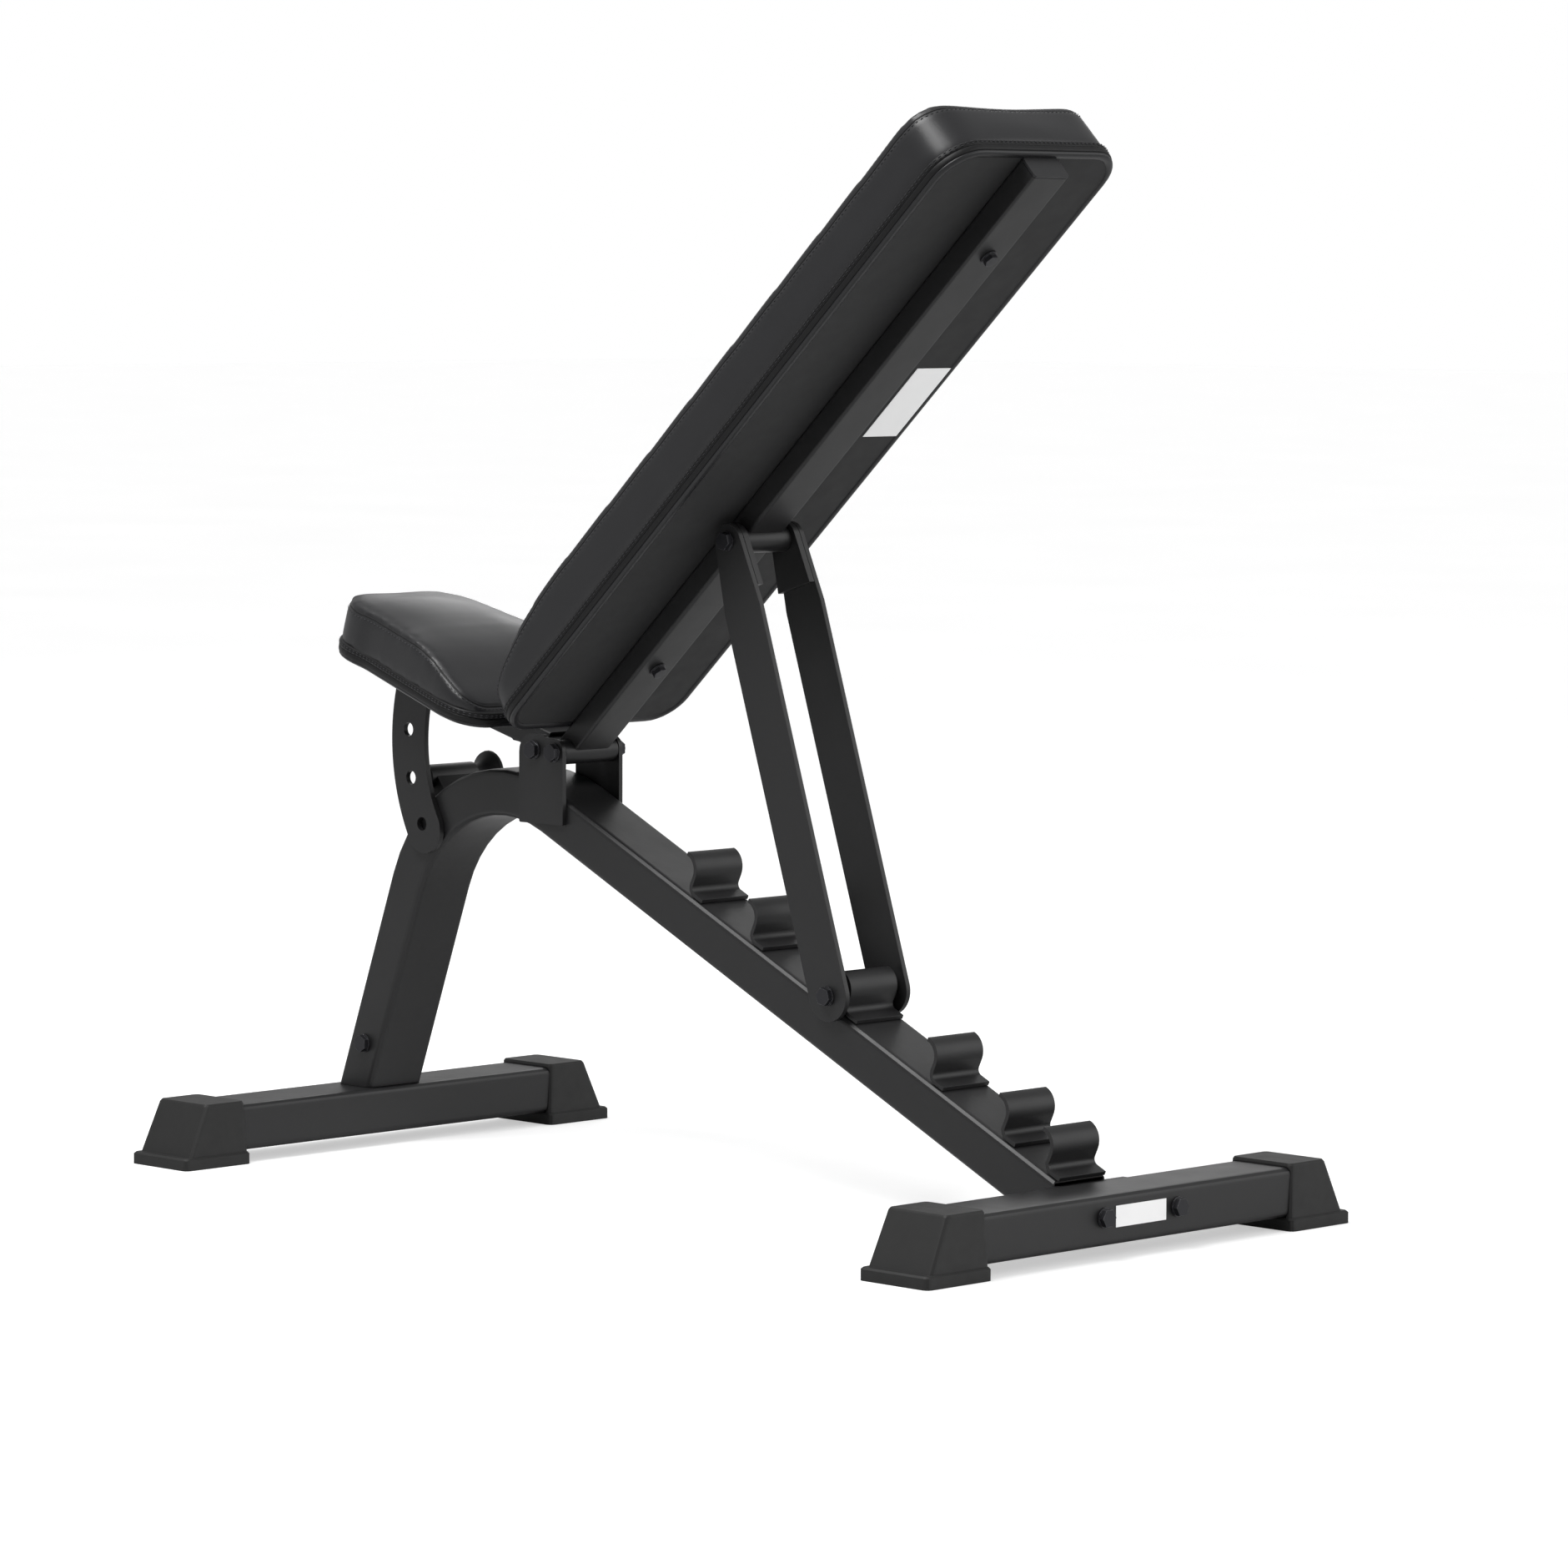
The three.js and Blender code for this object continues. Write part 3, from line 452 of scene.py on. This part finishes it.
def swell(piece, into_pad, hold_below, cap, ease):
    """Blows the foam out against its cover with the cloth solver, and holds its underside."""
    held = piece.vertex_groups.new(name="held")
    low = [v.index for v in piece.data.vertices if (into_pad @ v.co).z < hold_below]
    held.add(low, 1.0, "REPLACE")
    start = [v.co.copy() for v in piece.data.vertices]
    cloth = piece.modifiers.new("cloth", "CLOTH")
    settings = cloth.settings
    settings.quality = 5
    settings.mass = 0.35
    settings.tension_stiffness = 18
    settings.compression_stiffness = 18
    settings.shear_stiffness = 8
    settings.bending_stiffness = 1.5
    settings.use_pressure = True
    settings.uniform_pressure_force = 4
    settings.vertex_group_mass = "held"
    settings.effector_weights.gravity = 0
    cloth.collision_settings.use_collision = False
    scene = bpy.context.scene
    for step in range(1, CLOTH_FRAMES + 1):
        scene.frame_set(step)
    shown = piece.evaluated_get(bpy.context.evaluated_depsgraph_get())
    moved = [v.co.copy() for v in shown.data.vertices]
    piece.modifiers.clear()
    scene.frame_set(1)
    aways = []
    for old, new in zip(start, moved):
        away = new - old
        limit = cap * ease(into_pad @ old)
        aways.append(away * (limit / away.length) if away.length > limit else away)
    ends = np.array([e.vertices[:] for e in piece.data.edges])
    shifts = np.array(aways)
    degree = np.bincount(ends.ravel(), minlength=len(shifts))[:, None]
    for _ in range(SMOOTH_PASSES):
        total = np.zeros_like(shifts)
        np.add.at(total, ends[:, 0], shifts[ends[:, 1]])
        np.add.at(total, ends[:, 1], shifts[ends[:, 0]])
        shifts = 0.4 * shifts + 0.6 * total / degree
    for vertex, old, shift in zip(piece.data.vertices, start, shifts):
        vertex.co = old + Vector(shift)


def pad(node, name, pad_frame, board, ease):
    """A padded piece: the CAD solid, remeshed, rounded, blown out by cloth and subdivided."""
    bm = node_mesh(node)
    piece = new_piece(name, bm, "vinyl", BODY_OF[node])
    remesh = piece.modifiers.new("voxels", "REMESH")
    remesh.mode = "VOXEL"
    remesh.voxel_size = VOXEL * MM
    baked(piece)
    into_pad = pad_frame.inverted()
    bm = bmesh.new()
    bm.from_mesh(piece.data)
    soften(bm, 5)
    bm.to_mesh(piece.data)
    bm.free()
    swell(piece, into_pad, board + HELD_HEIGHT, SWELL_CAP * MM, ease)
    bm = bmesh.new()
    bm.from_mesh(piece.data)
    soften(bm, 3)
    bm.to_mesh(piece.data)
    bm.free()
    subdivide = piece.modifiers.new("smooth", "SUBSURF")
    subdivide.levels = subdivide.render_levels = 1
    baked(piece)
    piece.data.shade_smooth()
    piece.data.materials.clear()
    piece.data.materials.append(MATERIALS["vinyl"])
    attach(piece, BODY_OF[node])
    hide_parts(node)
    return piece


def swept(name, points, outs, ups, profile, finish, body):
    """A closed band: profile is (outward, upward) millimetre pairs, swept round a loop."""
    bm = bmesh.new()
    rings = [[p + o * (a * MM) + u * (b * MM) for a, b in profile] for p, o, u in zip(points, outs, ups)]
    loft(bm, rings)
    bmesh.ops.recalc_face_normals(bm, faces=bm.faces)
    mark_sharp(bm, 50)
    return new_piece(name, bm, finish, body)


def band(name, corners, pad_frame, base, body):
    """The binding round a pad's lower edge: a rolled rim, a groove, and a flat strip."""
    flat, normals = outline(corners)
    turn = pad_frame.to_3x3().normalized()
    points = [pad_frame @ Vector((p.x, p.y, base)) for p in flat]
    outs = [(turn @ Vector((n.x, n.y, 0))).normalized() for n in normals]
    ups = [(turn @ Vector((0, 0, 1))).normalized()] * len(points)
    swept(name + "_rim", points, outs, ups, RIM_PROFILE, "vinyl", body)
    # The flat strip takes the darker edge vinyl: painted shade along the binding.
    swept(name, points, outs, ups, STRIP_PROFILE, "edge", body)
    for row, height in enumerate(STITCH_ROWS):
        line = [p + o * (STITCH_OUT * MM) + u * (height * MM) for p, o, u in zip(points, outs, ups)]
        stitches(f"{name}_stitch_{row + 1}", line, outs, body)


def groove(piece, points, outs, depth=1.3, width=3.2):
    """Pulls the cover in along a seam."""
    near = KDTree(len(points))
    for i, point in enumerate(points):
        near.insert(point, i)
    near.balance()
    for vertex in piece.data.vertices:
        _, i, away = near.find(vertex.co)
        if away < 4 * width * MM:
            vertex.co -= outs[i] * (depth * MM * math.exp(-((away / (width * MM)) ** 2)))
    piece.data.update()


def seam(name, piece, pad_frame, path, body):
    """A seam over a pad: a fine welt in a shallow groove, with its stitches beside it."""
    tree = tree_of(piece)
    turn = pad_frame.to_3x3().normalized()
    points, outs = [], []
    for p, towards in path:
        start = pad_frame @ Vector(p) + turn @ Vector(towards).normalized() * 0.08
        place, normal, _, _ = tree.ray_cast(start, -(turn @ Vector(towards).normalized()), 0.2)
        if place is not None:
            points.append(place)
            outs.append(normal)
    count = len(points)
    groove(piece, points, outs)
    alongs = [(points[(i + 1) % count] - points[i - 1]).normalized() for i in range(count)]
    sides = [a.cross(o).normalized() for a, o in zip(alongs, outs)]
    profile = [(1.0 * math.cos(a), 0.8 * math.sin(a) - 1.3) for a in (k * math.pi / 4 for k in range(8))]
    # The welt takes the darker edge vinyl: painted shade in the seam's groove.
    swept(name, points, sides, outs, profile, "edge", body)
    line = [p + s * (STITCH_SIDE * MM) - o * (0.25 * MM) for p, s, o in zip(points, sides, outs)]
    stitches(name + "_stitch", line, outs, body)


def tree_of(piece):
    bm = bmesh.new()
    bm.from_mesh(piece.data)
    tree = BVHTree.FromBMesh(bm)
    bm.free()
    return tree


def stitches(name, points, outs, body, length=3.4, gap=1.6, radius=0.42):
    """Short threads laid end to end along a line on the surface."""
    bm = bmesh.new()
    count = len(points)
    spare = 0.0
    for i in range(count):
        a, b = points[i], points[(i + 1) % count]
        span = (b - a).length
        at = spare
        while at + length * MM <= span + 1e-9 or (at < span and at + length * MM - span < gap * MM):
            begin = a.lerp(b, at / span)
            end = a.lerp(b, min((at + length * MM) / span, 1.0))
            add_thread(bm, begin, end, outs[i], radius * MM)
            at += (length + gap) * MM
        spare = max(at - span, 0.0)
    mark_sharp(bm, 80)
    return new_piece(name, bm, "thread", body)


def add_thread(bm, begin, end, out, radius):
    along = end - begin
    if along.length < 1e-6:
        return
    along.normalize()
    side = along.cross(out).normalized()
    rings = []
    for t, size in ((0, 0.25), (0.18, 0.9), (0.82, 0.9), (1, 0.25)):
        centre = begin.lerp(end, t) + out * radius * (0.5 * size)
        rings.append([centre + (side * math.cos(a) + out * math.sin(a)) * radius * size
                      for a in (k * math.pi / 3 for k in range(6))])
    rows = loft(bm, rings, close=False)
    bm.faces.new(list(reversed(rows[0])))
    bm.faces.new(rows[-1])


def back_ease(p):
    """How freely the backrest's cover may swell: most over the middle, least near the hinge."""
    along = min(max((p.x - 30) / 160, 0.1), 1) * min(max((BACK["top"] - p.x) / 60, 0.5), 1)
    return along * (0.2 + 0.8 * max(1 - (abs(p.y) / 112) ** 3, 0))


def seat_ease(p):
    along = min(max((-p.x - 40) / 110, 0.08), 1) * min(max((SEAT["front"] + p.x) / 50, 0.25), 1)
    return along * (0.2 + 0.8 * max(1 - (abs(p.y) / 95) ** 3, 0))


# ---- pads ----
def rounded_loop(corners, height):
    """Seam points just inside an outline, each with the way it is cast in from."""
    flat, normals = outline(corners)
    return [((p.x - n.x * SEAM_INSET, p.y - n.y * SEAM_INSET, height(p)), (n.x, n.y, 1.0))
            for p, n in zip(flat, normals)]


def back_height(p):
    """The front face of the backrest at a point, in millimetres from its hinge plane."""
    t = min(max((p.x - BACK["bottom"]) / 190, 0), 1)
    return 52 + (BACK["front"] - 60) * math.sin(t * math.pi / 2) ** 0.8


def seat_height(p):
    t = min(max((-p.x + 10) / 150, 0), 1)
    return 40 + 32 * (3 * t * t - 2 * t ** 3)


def make_backrest():
    piece = pad("backrest_pad", "backrest_cushion", BACK_FRAME, BACK["rear"], back_ease)
    band("backrest_binding", back_corners(), BACK_FRAME, BACK["rear"], "backrest")
    seam("backrest_seam", piece, BACK_FRAME, rounded_loop(back_corners(), back_height), "backrest")


def make_seat():
    piece = pad("seat_pad", "seat_cushion", SEAT_FRAME, SEAT["low"], seat_ease)
    band("seat_binding", seat_corners(), SEAT_FRAME, SEAT["low"], "seat")
    seam("seat_seam", piece, SEAT_FRAME, rounded_loop(seat_corners(), seat_height), "seat")


# ---- hard pieces ----
SOFT_NODES = {"seat_pad", "backrest_pad"}


def finish_hard_nodes():
    for node in SLOT_OF:
        if node in SOFT_NODES:
            continue
        if SLOT_OF[node] == "label" or node == "pin_spring":   # too thin for eased edges
            data = frame["nodes"][node].data
            data.materials.clear()
            data.materials.append(MATERIALS[SLOT_OF[node]])
            continue
        wide = {"rubber": 1.2, "powder_coat": 0.6}.get(SLOT_OF[node], 0.45)
        finished(node, wide * MM, 3 if wide > 1 else 2)


# ---- stage ----
def make_stage():
    bm = bmesh.new()
    bmesh.ops.create_grid(bm, x_segments=1, y_segments=1, size=40)
    data = bpy.data.meshes.new("floor")
    bm.to_mesh(data)
    bm.free()
    floor = bpy.data.objects.new("floor", data)
    bpy.context.scene.collection.objects.link(floor)
    floor.data.materials.append(floor_paint())
    world = bpy.data.worlds.new("studio")
    world.use_nodes = True
    world.node_tree.nodes["Background"].inputs[0].default_value = (1, 1, 1, 1)
    tree = world.node_tree
    seen = tree.nodes.new("ShaderNodeLightPath")
    level = tree.nodes.new("ShaderNodeMapRange")
    level.inputs[3].default_value = WORLD_LIGHT
    level.inputs[4].default_value = BACKDROP
    tree.links.new(seen.outputs["Is Camera Ray"], level.inputs[0])
    tree.links.new(level.outputs[0], tree.nodes["Background"].inputs[1])
    bpy.context.scene.world = world
    bpy.context.scene.view_settings.view_transform = "Standard"


def lamp(name, place, target, size, power):
    data = bpy.data.lights.new(name, "AREA")
    data.shape = "RECTANGLE"
    data.size, data.size_y = size
    data.energy = power
    light = bpy.data.objects.new(name, data)
    bpy.context.scene.collection.objects.link(light)
    light.location = place
    light.rotation_euler = (Vector(target) - Vector(place)).to_track_quat("-Z", "Y").to_euler()


def sun(name, towards, spread, power):
    data = bpy.data.lights.new(name, "SUN")
    data.angle = math.radians(spread)
    data.energy = power
    light = bpy.data.objects.new(name, data)
    bpy.context.scene.collection.objects.link(light)
    light.rotation_euler = Vector(towards).to_track_quat("Z", "Y").to_euler()


make_camera()
make_stage()
lamp("overhead", (-0.2, -1.6, 3.2), (-0.2, 0, 0.6), (2.0, 1.4), 110)
lamp("back_glow", (-2.1, 2.5, 1.75), (-0.4, 0, 0.55), (1.6, 0.6), 9)
sun("side_light", (1.0, 0.7, 0.25), 70, 1.6)
sun("top_light", (-0.3, -0.1, 1.0), 50, 0.45)
finish_hard_nodes()
make_backrest()
make_seat()
